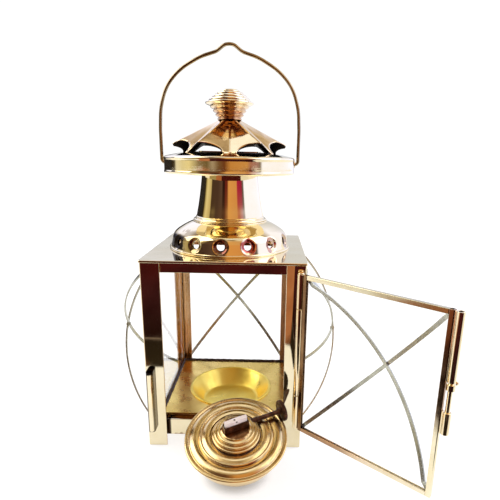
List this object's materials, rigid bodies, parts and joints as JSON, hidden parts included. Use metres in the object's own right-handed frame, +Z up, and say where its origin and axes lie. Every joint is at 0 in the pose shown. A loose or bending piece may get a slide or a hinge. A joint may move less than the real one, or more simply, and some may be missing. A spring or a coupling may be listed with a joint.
{
  "type": "portable oil lantern",
  "caption": "Square glazed brass oil lantern with a hinged bolt-latched door, vented chimney with fluted canopy and finial, swinging bail, bowed wire guards and a lift-out flat-wick lamp.",
  "frame": {"origin": "centre of the footprint of the four corner posts, on the surface that the lantern stands on", "axes": "+Z up, the door is on the -Y side and hinges on the +X side"},
  "size_m": [0.1977, 0.1938, 0.255],
  "materials": {
    "polished_brass": "mirror polished",
    "satin_brass": "satin, softly brushed",
    "lamp_brass": "spun and polished",
    "pale_brass": "dull drawn strip",
    "dark_bronze": "oxidised dark brown",
    "soot_black": "matt black",
    "clear_glass": "clear sheet glass",
    "cotton_wick": "woven cotton tape"
  },
  "bodies": {
    "lantern": {"bail_ferrules": "polished_brass", "canopy": "polished_brass", "canopy_bridge": "polished_brass", "chimney_neck": "polished_brass", "corner_post_front_left": "polished_brass", "corner_post_front_right": "polished_brass", "corner_post_rear_left": "polished_brass", "corner_post_rear_right": "polished_brass", "finial": "polished_brass", "finial_stud": "polished_brass", "floor_plate": "satin_brass", "front_header": "polished_brass", "front_sill": "polished_brass", "glass_left": "clear_glass", "glass_rear": "clear_glass", "glass_right": "clear_glass", "guard_left_inner": "pale_brass", "guard_left_outer": "pale_brass", "guard_rear_inner": "pale_brass", "guard_rear_outer": "pale_brass", "guard_right_inner": "pale_brass", "guard_right_outer": "pale_brass", "guard_rivets": "pale_brass", "hinge_knuckles": "polished_brass", "hinge_pin": "polished_brass", "lamp_dish": "satin_brass", "latch_keeper": "polished_brass", "left_header": "polished_brass", "left_sill": "polished_brass", "rear_header": "polished_brass", "rear_sill": "polished_brass", "right_header": "polished_brass", "right_sill": "polished_brass", "roof_plate": "polished_brass", "smoke_baffle": "soot_black", "smoke_pan": "polished_brass", "vent_collar": "polished_brass"},
    "door": {"door_bottom_rail": "polished_brass", "door_free_stile": "polished_brass", "door_glass": "clear_glass", "door_guard_inner": "pale_brass", "door_guard_outer": "pale_brass", "door_guard_rivet": "pale_brass", "door_hinge_stile": "polished_brass", "door_knuckle": "polished_brass", "door_top_rail": "polished_brass", "latch_tube_lower": "polished_brass", "latch_tube_upper": "polished_brass"},
    "latch_bolt": {"latch_rod": "polished_brass", "latch_knob": "polished_brass"},
    "bail": {"bail_handle": "polished_brass"},
    "lamp": {"font_bowl": "lamp_brass", "font_dome": "lamp_brass", "font_collar": "lamp_brass", "burner_cap": "lamp_brass", "wick_tube": "dark_bronze"},
    "winder": {"winder_spindle": "dark_bronze", "winder_knob": "dark_bronze"},
    "wick": {"wick": "cotton_wick"}
  },
  "joints": [
    {"name": "door_hinge", "type": "hinge", "parent": "lantern", "child": "door", "pos_m": [0.0465, -0.053, 0.07], "axis": [0, 0, 1], "range_deg": [-138, 0]},
    {"name": "lamp_aside", "type": "slide", "parent": "lantern", "child": "lamp", "axis": [-0.9701, -0.2425, 0], "range_m": [0, 0.108]},
    {"name": "latch_slide", "type": "slide", "parent": "door", "child": "latch_bolt", "axis": [0, 0, -1], "range_m": [0, 0.0105]},
    {"name": "bail_swing", "type": "hinge", "parent": "lantern", "child": "bail", "pos_m": [0, 0, 0.1819], "axis": [1, 0, 0], "range_deg": [-120, 120]},
    {"name": "winder_turn", "type": "hinge", "parent": "lamp", "child": "winder", "pos_m": [0.00828, -0.0721, 0.0288], "axis": [0.8988, 0.4201, 0.1252], "range_deg": [-130, 130]},
    {"name": "wick_feed", "type": "slide", "parent": "lamp", "child": "wick", "axis": [0, -0.2857, 0.9583], "range_m": [-0.0037, 0.0037]}
  ],
  "couplings": [
    {"joint": "door_hinge", "follows": "lamp_aside", "rad_per_m": -22.283},
    {"joint": "winder_turn", "follows": "wick_feed", "rad_per_m": -606.06}
  ]
}
